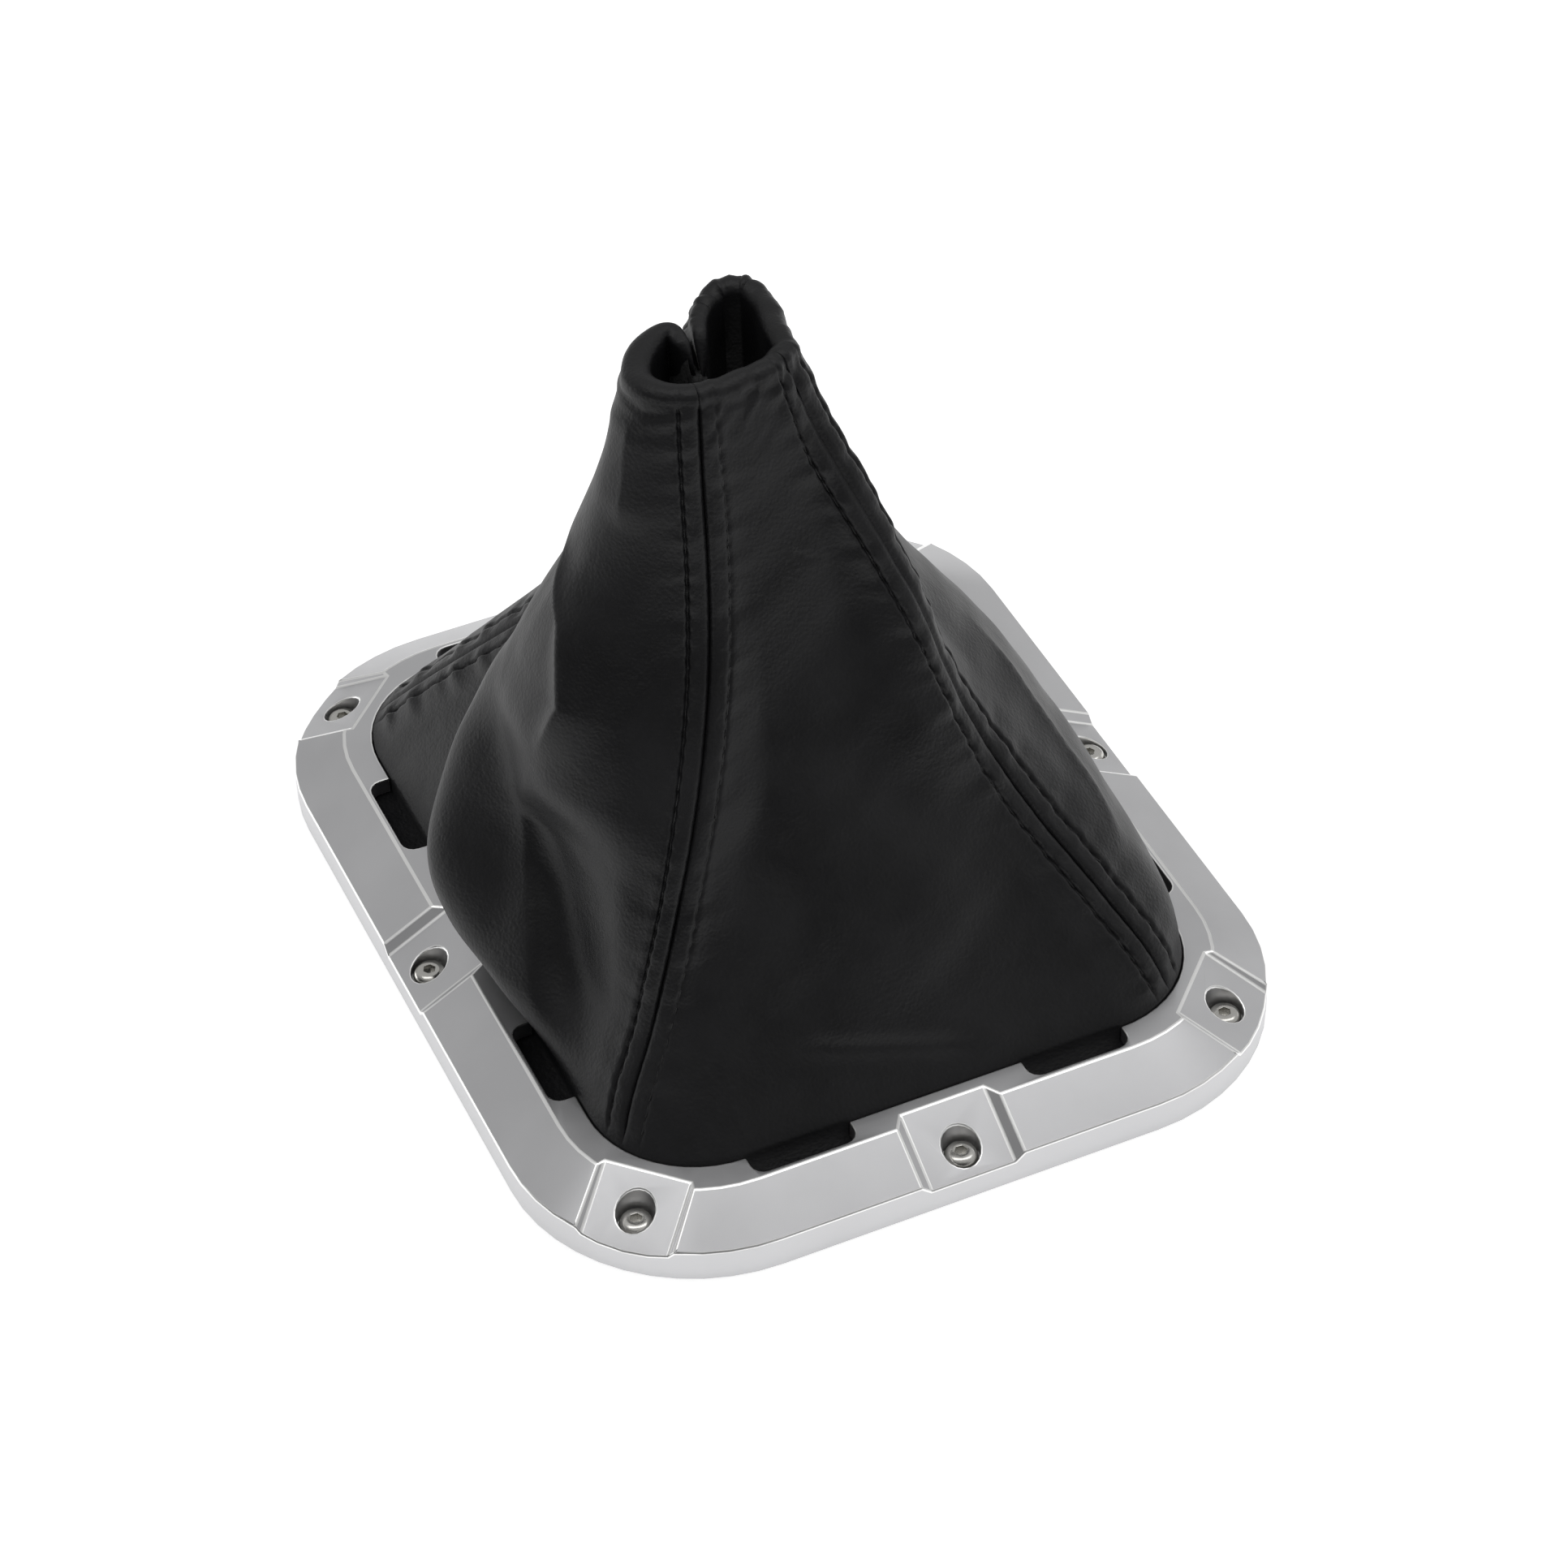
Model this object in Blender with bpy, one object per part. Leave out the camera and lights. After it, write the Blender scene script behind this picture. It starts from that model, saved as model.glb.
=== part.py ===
"""Gear shift bezel: a machined trim ring with a sewn four-panel leather boot.

Frame: metres, +Z up, origin at the centre of the underside, front towards -Y.
"""
import math

import bmesh
import bpy
from mathutils import Matrix, Vector

# Trim ring outline and section
BEZEL_WIDTH = 0.1778
BEZEL_LENGTH = 0.2159
CORNER_RADIUS = 0.04445
CORNER_STEPS = 12
WALL_HEIGHT = 0.0078
RIDGE_HEIGHT = 0.0145
RIDGE_INSET = 0.0122
LEDGE_INSET = 0.0188
LEDGE_THICKNESS = 0.0040
POCKET_INSET = 0.0130

# Flats milled into the slope, one under each screw
PAD_INNER_INSET = 0.0158
PAD_WIDTH = 0.0198
PAD_WALL_LEAN = 1.3

# Notches cut through the ledge, two on each side
NOTCH_INSET = 0.0134
NOTCH_CORNER_RADIUS = 0.0030
FRONT_NOTCH_PLACE = 0.0325
FRONT_NOTCH_WIDTH = 0.0240
SIDE_NOTCH_PLACE = 0.0440
SIDE_NOTCH_WIDTH = 0.0250

# Button-head socket screws
SCREW_INSET_SIDE = 0.0064
SCREW_INSET_CORNER = 0.0080
SCREW_HEAD_DIAMETER = 0.0076
SCREW_HEAD_HEIGHT = 0.0022
SCREW_CROWN = 0.0015
SCREW_SHANK_DIAMETER = 0.0040
SCREW_LENGTH = 0.0052
SCREW_SOCKET_WIDTH = 0.0025
SCREW_SOCKET_DEPTH = 0.0013
SCREW_SEAT_HEIGHT = 0.0055
COUNTERBORE_CLEARANCE = 0.00045
SHANK_CLEARANCE = 0.0003
ROUND_STEPS = 20

# Retaining ring and the small screws that hold it up against the boot's flange
RING_THICKNESS = 0.0020
RING_INNER_INSET = 0.0208
RETAINER_INSET = 0.0162
RETAINER_OFFSET_FRONT = 0.0150
RETAINER_OFFSET_SIDE = 0.0230
RETAINER_SHANK_DIAMETER = 0.0025
RETAINER_HEAD_DIAMETER = 0.0045
RETAINER_HEAD_HEIGHT = 0.0017
RETAINER_SLOT_WIDTH = 0.0007
RETAINER_SLOT_DEPTH = 0.0008
RETAINER_BITE = 0.0026
RETAINER_STEPS = 12

# Leather boot
LEATHER_THICKNESS = 0.0012
GAP = 0.0003
FLANGE_CLEARANCE = 0.0006
BOOT_HEIGHT = 0.1570
BOOT_WAIST = 0.14
FOOT_HOLD = 0.10
HEM_RADIUS = 0.0025
HEM_DEPTH = 0.0070
FLANGE_ROWS = 2
WALL_ROWS = 18
CURL_ROWS = 4
HEM_ROWS = 1

# Step round or up the boot over which a direction is taken
NEARBY = 0.01

# Mouth of the boot as seen from above, panel by panel, each list from seam to seam
MOUTH = {
    "right": [(0.0050, -0.0120), (0.0087, -0.0076), (0.0107, -0.0005), (0.0113, 0.0082), (0.0092, 0.0160)],
    "rear": [(0.0092, 0.0160), (0.0052, 0.0199), (0.0000, 0.0194), (-0.0046, 0.0152)],
    "left": [
        (-0.0046, 0.0152), (-0.0078, 0.0108), (-0.0088, 0.0060), (-0.0096, 0.0012), (-0.0108, 0.0012),
        (-0.0102, 0.0060), (-0.0096, 0.0106), (-0.0126, 0.0124), (-0.0182, 0.0104), (-0.0230, 0.0060),
        (-0.0262, 0.0000), (-0.0260, -0.0066), (-0.0236, -0.0114), (-0.0176, -0.0150),
    ],
    "front": [
        (-0.0176, -0.0150), (-0.0120, -0.0156), (-0.0055, -0.0150), (0.0003, -0.0140), (0.0050, -0.0120),
    ],
}
PANELS = ["right", "rear", "left", "front"]
PANEL_STEPS = {"right": 12, "rear": 12, "left": 28, "front": 12}

# Seams moved along the opening from the middles of its corners: place round the boot, shift
SEAM_SHIFTS = {"front_right": (3.5, -0.0043), "front_left": (2.5, -0.0080), "rear_left": (1.5, 0.0031)}

# Seams that bow sideways on their way up: place, half-width, height share, half-height, change of place
SEAM_BOWS = {"front_left": (2.5, 0.5, 0.595, 0.593, 0.139)}

# Folds: place at the foot and at the head, half-width, height share, half-height, push outwards
FOLDS = {
    "right_bulge": (-0.28, 0.24, 0.45, 0.26, 0.46, 0.0131),
    "front_bulge": (3.00, 3.00, 0.40, 0.30, 0.30, 0.0040),
    "rear_bulge": (1.60, 0.46, 0.30, 0.43, 0.29, 0.0031),
    "left_bulge": (2.23, 1.27, 0.22, 0.19, 0.50, 0.0118),
    "left_valley": (1.75, 1.23, 0.38, 0.35, 0.31, -0.0074),
    "left_ridge": (2.32, 1.76, 0.49, 0.51, 0.40, 0.0168),
    "rear_left_swell": (2.03, 1.71, 0.36, 0.14, 0.17, 0.0051),
    "front_right_flare": (3.04, 3.76, 0.28, 0.66, 0.45, 0.0074),
    "neck_flare": (2.00, 2.18, 0.31, 0.67, 0.47, 0.0086),
    "left_side_swell": (2.00, 1.94, 0.15, 0.22, 0.38, 0.0085),
    "front_left_flare": (2.43, 2.62, 0.20, 0.43, 0.33, 0.0047),
}

# Height of the rim round the mouth: place, half-width, rise
RIM_WAVES = {
    "pleat_drop": (1.75, 0.12, -0.0090),
    "rear_rise": (0.80, 0.60, 0.0010),
}

# The hem is pressed thinner inside the pleat: place, half-width, share lost
HEM_PRESS = (1.75, 0.25, 0.45)

# Worked out from the sizes above
HALF_WIDTH = BEZEL_WIDTH / 2
HALF_LENGTH = BEZEL_LENGTH / 2
SLOPE = (RIDGE_HEIGHT - WALL_HEIGHT) / RIDGE_INSET
SLOPE_ANGLE = math.atan(SLOPE)
LEDGE_UNDERSIDE = RIDGE_HEIGHT - LEDGE_THICKNESS
FLANGE_TOP = LEDGE_UNDERSIDE - GAP
RING_TOP = FLANGE_TOP - LEATHER_THICKNESS - GAP
RING_BOTTOM = RING_TOP - RING_THICKNESS
RING_OUTER_INSET = POCKET_INSET + GAP
BOOT_INSET = LEDGE_INSET + GAP
BOOT_START = RIDGE_HEIGHT + GAP
SCREW_HEAD_BOTTOM = SCREW_SEAT_HEIGHT + GAP
CUT_OVERLAP = 0.0050

UP = Vector((0, 0, 1))
SIDES = {"right": (1, 0), "rear": (0, 1), "left": (-1, 0), "front": (0, -1)}
CORNERS = {"rear_right": (1, 1), "rear_left": (-1, 1), "front_left": (-1, -1), "front_right": (1, -1)}


def new_collection(name):
    collection = bpy.data.collections.new(name)
    bpy.context.scene.collection.children.link(collection)
    return collection


def new_material(name, colour, roughness, metallic):
    material = bpy.data.materials.new(name)
    material.use_nodes = True
    shader = material.node_tree.nodes["Principled BSDF"]
    shader.inputs["Base Color"].default_value = (*colour, 1)
    shader.inputs["Roughness"].default_value = roughness
    shader.inputs["Metallic"].default_value = metallic
    return material


def add_object(name, bm, collection, material=None):
    mesh = bpy.data.meshes.new(name)
    bm.to_mesh(mesh)
    bm.free()
    obj = bpy.data.objects.new(name, mesh)
    collection.objects.link(obj)
    if material:
        mesh.materials.append(material)
    return obj


def add_cutter(name, bm, cutters):
    cutter = add_object(name, bm, cutters)
    cutter.hide_render = True
    cutter.display_type = "WIRE"
    return cutter


def cut(obj, cutter):
    boolean = obj.modifiers.new("cut_" + cutter.name, "BOOLEAN")
    boolean.operation = "DIFFERENCE"
    boolean.solver = "EXACT"
    boolean.object = cutter


def shade(obj, angle=math.radians(30)):
    obj.data.shade_smooth()
    obj.data.set_sharp_from_angle(angle=angle)


# Outline of the trim ring, moved inwards by an inset
def outline(inset):
    points = []
    radius = CORNER_RADIUS - inset
    for corner, (side_x, side_y) in enumerate([(1, 1), (-1, 1), (-1, -1), (1, -1)]):
        centre_x = side_x * (HALF_WIDTH - CORNER_RADIUS)
        centre_y = side_y * (HALF_LENGTH - CORNER_RADIUS)
        for step in range(CORNER_STEPS + 1):
            angle = math.pi / 2 * (corner + step / CORNER_STEPS)
            points.append((centre_x + radius * math.cos(angle), centre_y + radius * math.sin(angle)))
    return points


def stations():
    """Each screw's place on the outer edge and its outward direction."""
    places = {}
    for name, (x, y) in SIDES.items():
        places[name] = (Vector((x * HALF_WIDTH, y * HALF_LENGTH, 0)), Vector((x, y, 0)))
    for name, (x, y) in CORNERS.items():
        outward = Vector((x, y, 0)).normalized()
        centre = Vector((x * (HALF_WIDTH - CORNER_RADIUS), y * (HALF_LENGTH - CORNER_RADIUS), 0))
        places[name] = (centre + outward * CORNER_RADIUS, outward)
    return places


def screw_place(name, edge, outward):
    inset = SCREW_INSET_CORNER if "_" in name else SCREW_INSET_SIDE
    return edge - outward * inset


def retainer_places():
    """Each small screw's centre under the ledge, two on each side."""
    places = {}
    for side, (x, y) in SIDES.items():
        across = RETAINER_OFFSET_FRONT if y else RETAINER_OFFSET_SIDE
        edge = Vector((x * (HALF_WIDTH - RETAINER_INSET), y * (HALF_LENGTH - RETAINER_INSET), 0))
        for number, way in enumerate((-1, 1), 1):
            places[f"{side}_{number}"] = edge + Vector((-y, x, 0)) * across * way
    return places


def plate(inset, bottom, top):
    """Flat solid with the trim ring's outline, moved inwards by an inset."""
    bm = bmesh.new()
    base = bm.faces.new([bm.verts.new((x, y, bottom)) for x, y in outline(inset)])
    made = bmesh.ops.extrude_face_region(bm, geom=[base])["geom"]
    raised = [v for v in made if isinstance(v, bmesh.types.BMVert)]
    bmesh.ops.translate(bm, vec=(0, 0, top - bottom), verts=raised)
    bmesh.ops.recalc_face_normals(bm, faces=bm.faces)
    return bm


def cylinder(bm, radius, bottom, top, centre, steps):
    middle = Matrix.Translation((centre.x, centre.y, (bottom + top) / 2))
    bmesh.ops.create_cone(
        bm, cap_ends=True, segments=steps, radius1=radius, radius2=radius,
        depth=top - bottom, matrix=middle,
    )


# Trim ring
def pad_cutter(name, edge, outward, cutters):
    """Wedge whose floor lies parallel to the slope, with side walls that lean open."""
    bm = bmesh.new()
    height = RIDGE_HEIGHT
    reach = PAD_INNER_INSET / math.cos(SLOPE_ANGLE) + CUT_OVERLAP
    bmesh.ops.create_cube(bm, size=1)
    for vert in bm.verts:
        half = PAD_WIDTH / 2 + (PAD_WALL_LEAN * height if vert.co.z > 0 else 0)
        vert.co.x = math.copysign(half, vert.co.x)
        vert.co.y = reach if vert.co.y > 0 else -CUT_OVERLAP
        vert.co.z = height if vert.co.z > 0 else 0
    along = outward.cross(UP)
    down_slope = outward * math.cos(SLOPE_ANGLE) - UP * math.sin(SLOPE_ANGLE)
    off_slope = outward * math.sin(SLOPE_ANGLE) + UP * math.cos(SLOPE_ANGLE)
    turn = Matrix((along, down_slope, off_slope)).transposed().to_4x4()
    place = Matrix.Translation(edge - outward * PAD_INNER_INSET + UP * RIDGE_HEIGHT)
    bmesh.ops.transform(bm, matrix=place @ turn, verts=bm.verts)
    return add_cutter(name, bm, cutters)


def notch_cutter(name, centre, outward, width, cutters):
    """Block with its two outer corners rounded, from the notch's end to past the inner edge."""
    bm = bmesh.new()
    depth = LEDGE_INSET - NOTCH_INSET + CUT_OVERLAP
    bmesh.ops.create_cube(bm, size=1)
    bmesh.ops.scale(bm, vec=(width, depth, 2 * LEDGE_THICKNESS), verts=bm.verts)
    outer = [e for e in bm.edges if all(v.co.y > 0 for v in e.verts) and e.verts[0].co.x == e.verts[1].co.x]
    bmesh.ops.bevel(
        bm, geom=outer, offset=NOTCH_CORNER_RADIUS, offset_type="OFFSET", segments=4,
        profile=0.5, affect="EDGES", material=-1, clamp_overlap=False,
    )
    turn = Matrix((outward.cross(UP), outward, UP)).transposed().to_4x4()
    middle = centre - outward * (NOTCH_INSET + depth / 2) + UP * (LEDGE_UNDERSIDE + LEDGE_THICKNESS / 2)
    bmesh.ops.transform(bm, matrix=Matrix.Translation(middle) @ turn, verts=bm.verts)
    return add_cutter(name, bm, cutters)


def make_bezel(parts, cutters, material):
    blank = plate(0, 0, WALL_HEIGHT)
    top = [f for f in blank.faces if f.normal.z > 0.5]
    rise = RIDGE_HEIGHT - WALL_HEIGHT
    bmesh.ops.inset_individual(blank, faces=top, thickness=RIDGE_INSET, depth=rise, use_even_offset=True)
    bezel = add_object("bezel", blank, parts, material)
    opening = plate(LEDGE_INSET, -CUT_OVERLAP, RIDGE_HEIGHT + CUT_OVERLAP)
    cut(bezel, add_cutter("opening", opening, cutters))
    cut(bezel, add_cutter("pocket", plate(POCKET_INSET, -CUT_OVERLAP, LEDGE_UNDERSIDE), cutters))
    for name, (edge, outward) in stations().items():
        cut(bezel, pad_cutter("pad_" + name, edge, outward, cutters))
        centre = screw_place(name, edge, outward)
        bore = bmesh.new()
        bore_radius = SCREW_HEAD_DIAMETER / 2 + COUNTERBORE_CLEARANCE
        cylinder(bore, bore_radius, SCREW_SEAT_HEIGHT, RIDGE_HEIGHT + CUT_OVERLAP, centre, ROUND_STEPS)
        cut(bezel, add_cutter("counterbore_" + name, bore, cutters))
        hole = bmesh.new()
        hole_radius = SCREW_SHANK_DIAMETER / 2 + SHANK_CLEARANCE
        cylinder(hole, hole_radius, -CUT_OVERLAP, SCREW_SEAT_HEIGHT + GAP, centre, ROUND_STEPS)
        cut(bezel, add_cutter("hole_" + name, hole, cutters))
    for side, (x, y) in SIDES.items():
        outward = Vector((x, y, 0))
        edge = Vector((x * HALF_WIDTH, y * HALF_LENGTH, 0))
        place = FRONT_NOTCH_PLACE if y else SIDE_NOTCH_PLACE
        width = FRONT_NOTCH_WIDTH if y else SIDE_NOTCH_WIDTH
        for number, way in enumerate((-1, 1), 1):
            centre = edge + Vector((-y, x, 0)) * place * way
            cut(bezel, notch_cutter(f"notch_{side}_{number}", centre, outward, width, cutters))
    for name, centre in retainer_places().items():
        tapped = bmesh.new()
        radius = RETAINER_SHANK_DIAMETER / 2 + SHANK_CLEARANCE
        top = LEDGE_UNDERSIDE + RETAINER_BITE + GAP
        cylinder(tapped, radius, LEDGE_UNDERSIDE - GAP, top, centre, RETAINER_STEPS)
        cut(bezel, add_cutter("tapped_" + name, tapped, cutters))
    return bezel


# Screws
def make_screw(name, centre, parts, cutters, material):
    """Button head with a hexagon socket on a plain shank."""
    bm = bmesh.new()
    radius = SCREW_HEAD_DIAMETER / 2
    cylinder(bm, radius, 0, SCREW_HEAD_HEIGHT, Vector((0, 0, 0)), ROUND_STEPS)
    crown = [e for e in bm.edges if all(v.co.z > SCREW_HEAD_HEIGHT / 2 for v in e.verts)]
    bmesh.ops.bevel(
        bm, geom=crown, offset=SCREW_CROWN, offset_type="OFFSET", segments=3,
        profile=0.5, affect="EDGES", material=-1, clamp_overlap=False,
    )
    screw = add_object(name, bm, parts, material)
    shank = bmesh.new()
    cylinder(shank, SCREW_SHANK_DIAMETER / 2, -SCREW_LENGTH, GAP, Vector((0, 0, 0)), ROUND_STEPS)
    shank_cutter = add_cutter("shank_" + name, shank, cutters)
    join = screw.modifiers.new("join_shank", "BOOLEAN")
    join.operation = "UNION"
    join.solver = "EXACT"
    join.object = shank_cutter
    socket = bmesh.new()
    corner_radius = SCREW_SOCKET_WIDTH / math.sqrt(3)
    floor = SCREW_HEAD_HEIGHT - SCREW_SOCKET_DEPTH
    cylinder(socket, corner_radius, floor, SCREW_HEAD_HEIGHT + CUT_OVERLAP, Vector((0, 0, 0)), 6)
    socket_cutter = add_cutter("socket_" + name, socket, cutters)
    cut(screw, socket_cutter)
    for obj in (screw, shank_cutter, socket_cutter):
        obj.location = centre + UP * SCREW_HEAD_BOTTOM
    shade(screw)
    return screw


def make_retainer(name, centre, parts, cutters, material):
    """Small slotted screw, head down, that draws the retaining ring up to the ledge."""
    bm = bmesh.new()
    shank_top = LEDGE_UNDERSIDE + RETAINER_BITE
    head_top = RING_BOTTOM - GAP
    origin = Vector((0, 0, 0))
    cylinder(bm, RETAINER_HEAD_DIAMETER / 2, -RETAINER_HEAD_HEIGHT, 0, origin, RETAINER_STEPS)
    screw = add_object(name, bm, parts, material)
    shank = bmesh.new()
    cylinder(shank, RETAINER_SHANK_DIAMETER / 2, -GAP, shank_top - head_top, origin, RETAINER_STEPS)
    shank_cutter = add_cutter("shank_" + name, shank, cutters)
    join = screw.modifiers.new("join_shank", "BOOLEAN")
    join.operation = "UNION"
    join.solver = "EXACT"
    join.object = shank_cutter
    slot = bmesh.new()
    bmesh.ops.create_cube(slot, size=1)
    slot_size = (RETAINER_HEAD_DIAMETER * 2, RETAINER_SLOT_WIDTH, RETAINER_SLOT_DEPTH * 2)
    bmesh.ops.scale(slot, vec=slot_size, verts=slot.verts)
    bmesh.ops.translate(slot, vec=(0, 0, -RETAINER_HEAD_HEIGHT), verts=slot.verts)
    slot_cutter = add_cutter("slot_" + name, slot, cutters)
    cut(screw, slot_cutter)
    for obj in (screw, shank_cutter, slot_cutter):
        obj.location = centre + UP * head_top
    shade(screw)
    return screw


# Retaining ring
def make_retaining_ring(parts, cutters, material):
    ring = add_object("retaining_ring", plate(RING_OUTER_INSET, RING_BOTTOM, RING_TOP), parts, material)
    middle = plate(RING_INNER_INSET, RING_BOTTOM - CUT_OVERLAP, RING_TOP + CUT_OVERLAP)
    cut(ring, add_cutter("ring_middle", middle, cutters))
    for name, centre in retainer_places().items():
        hole = bmesh.new()
        radius = RETAINER_SHANK_DIAMETER / 2 + SHANK_CLEARANCE
        cylinder(hole, radius, RING_BOTTOM - CUT_OVERLAP, RING_TOP + CUT_OVERLAP, centre, RETAINER_STEPS)
        cut(ring, add_cutter("ring_hole_" + name, hole, cutters))
    return ring


# Boot surface: place runs once round the boot, 0 at the right, a whole number at each panel's middle
def smooth_path(points, share):
    """Point at a share of the way along a smooth path through the given points."""
    spans = len(points) - 1
    index = min(int(share * spans), spans - 1)
    local = share * spans - index
    near = [points[max(index - 1, 0)], points[index], points[index + 1], points[min(index + 2, spans)]]
    weights = [
        -0.5 * local + local ** 2 - 0.5 * local ** 3, 1 - 2.5 * local ** 2 + 1.5 * local ** 3,
        0.5 * local + 2 * local ** 2 - 1.5 * local ** 3, -0.5 * local ** 2 + 0.5 * local ** 3,
    ]
    return sum((Vector(point) * weight for weight, point in zip(weights, near)), Vector((0, 0)))


def mouth_point(place):
    panel = int(math.floor(place + 0.5)) % 4
    share = place + 0.5 - math.floor(place + 0.5)
    before = MOUTH[PANELS[panel - 1]]
    after = MOUTH[PANELS[(panel + 1) % 4]]
    own = MOUTH[PANELS[panel]]
    points = [before[-2]] + own + [after[1]]
    spans = len(own) - 1
    return smooth_path(points, (1 + share * spans) / (spans + 2))


def bump(distance, half_width):
    """Smooth hump that is one in the middle and nothing at the half-width."""
    share = abs(distance) / half_width
    return (1 - share ** 2) ** 2 if share < 1 else 0.0


def round_distance(place, centre):
    return (place - centre + 2) % 4 - 2


def base_point(place, inset):
    """Point on the inset outline: each quarter runs from one corner's middle to the next."""
    panel = int(math.floor(place + 0.5)) % 4
    share = place - math.floor(place + 0.5)
    radius = CORNER_RADIUS - inset
    arc = radius * math.pi / 4
    straights = [HALF_LENGTH - CORNER_RADIUS, HALF_WIDTH - CORNER_RADIUS]
    half = straights[panel % 2] + arc
    shift = sum(move * bump(round_distance(place, at), 0.5) for at, move in SEAM_SHIFTS.values())
    along = share * 2 * half + shift
    if abs(along) > half:
        way = 1 if along > 0 else -1
        panel = (panel + way) % 4
        along -= way * (half + straights[panel % 2] + arc)
    straight = straights[panel % 2]
    reach = (HALF_LENGTH if panel % 2 else HALF_WIDTH) - inset
    angle = max(abs(along) - straight, 0) / radius
    side = min(abs(along), straight) + radius * math.sin(angle)
    local = Vector((reach - radius * (1 - math.cos(angle)), math.copysign(side, along)))
    turn = [(1, 0), (0, 1), (-1, 0), (0, -1)][panel]
    return Vector((local.x * turn[0] - local.y * turn[1], local.x * turn[1] + local.y * turn[0]))


def rim_height(place):
    waves = sum(rise * bump(round_distance(place, at), width) for at, width, rise in RIM_WAVES.values())
    return BOOT_HEIGHT - HEM_RADIUS + waves


def boot_point(place, height):
    """Point on the boot's outer face: height is 0 just above the ledge and 1 at the hem."""
    share = height + BOOT_WAIST * math.sin(math.pi * height)
    bowed = place + sum(
        change * bump(round_distance(place, at), wide) * bump(height - level, tall)
        for at, wide, level, tall, change in SEAM_BOWS.values()
    )
    flat = base_point(bowed, BOOT_INSET).lerp(mouth_point(bowed), share)
    push = sum(
        out * bump(round_distance(place, foot + (head - foot) * height), wide) * bump(height - level, tall)
        for foot, head, wide, level, tall, out in FOLDS.values()
    )
    held = min(max(1 - height / FOOT_HOLD, 0), 1) ** 2
    flat += base_point(place, 0).normalized() * push * (1 - held)
    return Vector((flat.x, flat.y, BOOT_START + height * (rim_height(place) - BOOT_START)))


def boot_inward(place, height):
    """Direction from the boot's outer face into the leather."""
    around = boot_point(place + NEARBY, height) - boot_point(place - NEARBY, height)
    upward = boot_point(place, height + NEARBY) - boot_point(place, height - NEARBY)
    return upward.cross(around).normalized()


def hem_point(place, turn, drop, depth):
    """Point on the hem: the leather turns inwards over the rim, then runs down inside."""
    ahead = mouth_point(place + NEARBY) - mouth_point(place - NEARBY)
    inward = Vector((-ahead.y, ahead.x, 0)).normalized()
    at, wide, lost = HEM_PRESS
    radius = HEM_RADIUS * (1 - lost * bump(round_distance(place, at), wide))
    middle = boot_point(place, 1) + inward * radius
    around = UP * math.sin(turn) - inward * math.cos(turn)
    return middle + around * (radius - depth) - UP * drop


def panel_point(place, row, depth):
    """Point of a panel, row by row from the flange's edge to the hem's end, at a depth in the leather."""
    if row <= FLANGE_ROWS:
        inset = RING_OUTER_INSET + FLANGE_CLEARANCE if row == 0 else BOOT_INSET + depth
        flat = base_point(place, inset)
        return Vector((flat.x, flat.y, FLANGE_TOP - depth if row < FLANGE_ROWS else BOOT_START))
    row -= FLANGE_ROWS
    if row < WALL_ROWS:
        height = row / WALL_ROWS
        return boot_point(place, height) + boot_inward(place, height) * depth
    row -= WALL_ROWS
    if row <= CURL_ROWS:
        return hem_point(place, math.pi * row / CURL_ROWS, 0, depth)
    return hem_point(place, math.pi, HEM_DEPTH * (row - CURL_ROWS) / HEM_ROWS, depth)


def make_panel(name, number, parts, cutters, material):
    """One leather panel: a grid with a second layer under it, both laid on the boot's surface."""
    steps = PANEL_STEPS[name]
    rows = FLANGE_ROWS + WALL_ROWS + CURL_ROWS + HEM_ROWS
    bm = bmesh.new()
    bmesh.ops.create_grid(bm, x_segments=steps, y_segments=rows, size=0.5)
    made = bmesh.ops.extrude_face_region(bm, geom=bm.faces[:], use_keep_orig=True)["geom"]
    lower = [v for v in made if isinstance(v, bmesh.types.BMVert)]
    bmesh.ops.translate(bm, vec=(0, 0, -1), verts=lower)
    for vert in bm.verts:
        column = round((vert.co.x + 0.5) * steps)
        row = round((vert.co.y + 0.5) * rows)
        depth = LEATHER_THICKNESS if vert.co.z < -0.5 else 0
        place = number - 0.5 + column / steps
        point = panel_point(place, row, depth)
        if column in (0, steps):
            step = NEARBY if column == 0 else -NEARBY
            along = panel_point(place + step, row, depth) - point
            point += along.normalized() * GAP / 2
        vert.co = point
    bmesh.ops.recalc_face_normals(bm, faces=bm.faces)
    panel = add_object("boot_panel_" + name, bm, parts, material)
    for hole_name, centre in retainer_places().items():
        if hole_name.startswith(name + "_"):
            hole = bmesh.new()
            radius = RETAINER_SHANK_DIAMETER / 2 + SHANK_CLEARANCE
            bottom = FLANGE_TOP - LEATHER_THICKNESS - GAP / 2
            cylinder(hole, radius, bottom, FLANGE_TOP + GAP / 2, centre, RETAINER_STEPS)
            cut(panel, add_cutter("punched_" + hole_name, hole, cutters))
    panel.data.shade_smooth()
    return panel


def main():
    for obj in list(bpy.data.objects):
        bpy.data.objects.remove(obj, do_unlink=True)
    parts = new_collection("gear_shift_bezel")
    cutters = new_collection("cutters")
    aluminium = new_material("satin_aluminium", (0.60, 0.60, 0.61), 0.32, 1.0)
    steel = new_material("stainless_steel", (0.55, 0.55, 0.56), 0.25, 1.0)
    plated = new_material("plated_steel", (0.42, 0.42, 0.43), 0.40, 1.0)
    leather = new_material("black_leather", (0.018, 0.018, 0.019), 0.50, 0.0)
    make_bezel(parts, cutters, aluminium)
    make_retaining_ring(parts, cutters, plated)
    for name, (edge, outward) in stations().items():
        make_screw("screw_" + name, screw_place(name, edge, outward), parts, cutters, steel)
    for name, centre in retainer_places().items():
        make_retainer("retainer_screw_" + name, centre, parts, cutters, plated)
    for number, name in enumerate(PANELS):
        make_panel(name, number, parts, cutters, leather)


main()
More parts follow.
